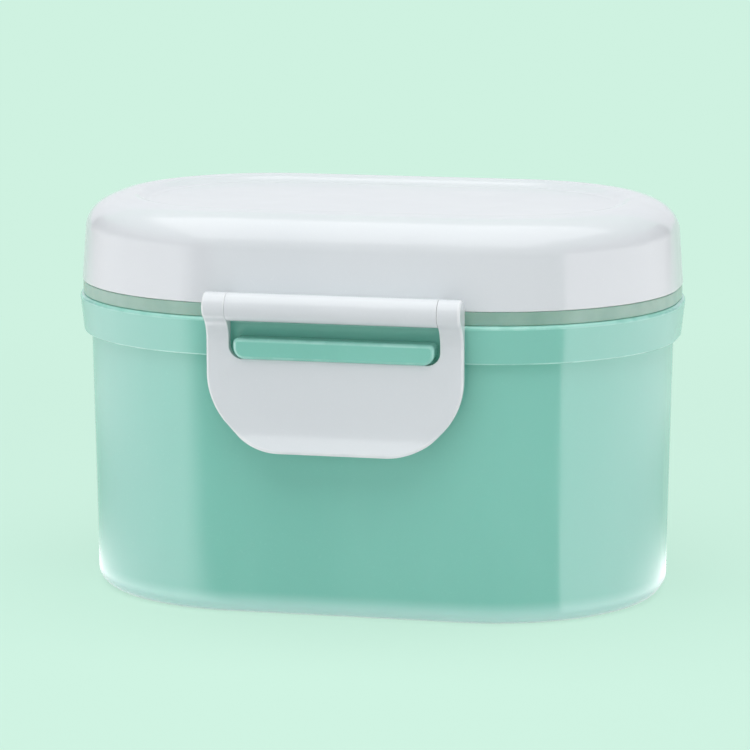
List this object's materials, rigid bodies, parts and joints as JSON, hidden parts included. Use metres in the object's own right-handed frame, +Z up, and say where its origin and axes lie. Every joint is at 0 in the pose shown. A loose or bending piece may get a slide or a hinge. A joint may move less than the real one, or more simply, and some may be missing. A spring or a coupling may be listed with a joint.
{
  "type": "formula dispenser",
  "caption": "Oblong formula powder box with a hinged white lid, silicone seal, windowed front latch over a keeper bar, leveller bar and clip-in scoop.",
  "frame": {"origin": "on the table under the middle of the box", "axes": "+X along the box's length to the right, +Y from the latch to the hinge, +Z up"},
  "size_m": [0.145, 0.1102, 0.0939],
  "materials": {
    "mint_plastic": "smooth moulded gloss",
    "white_plastic": "smooth moulded gloss",
    "silicone": "satin, translucent",
    "steel": "drawn rod"
  },
  "bodies": {
    "container": {"container_body": "mint_plastic", "seal_ring": "silicone", "leveller": "white_plastic", "hinge_pin": "steel"},
    "lid": {"lid": "white_plastic", "latch_pin": "steel"},
    "latch": {"front_latch": "white_plastic"},
    "scoop": {"scoop": "white_plastic"}
  },
  "joints": [
    {"name": "lid_hinge", "type": "hinge", "parent": "container", "child": "lid", "pos_m": [0, 0.0519, 0.07385], "axis": [-1, 0, 0], "range_deg": [0, 110]},
    {"name": "latch_pivot", "type": "hinge", "parent": "lid", "child": "latch", "pos_m": [0, -0.0519, 0.07385], "axis": [-1, 0, 0], "range_deg": [0, 110]},
    {"name": "scoop_pull", "type": "slide", "parent": "lid", "child": "scoop", "axis": [0, 0, -1], "range_m": [0, 0.04]}
  ]
}
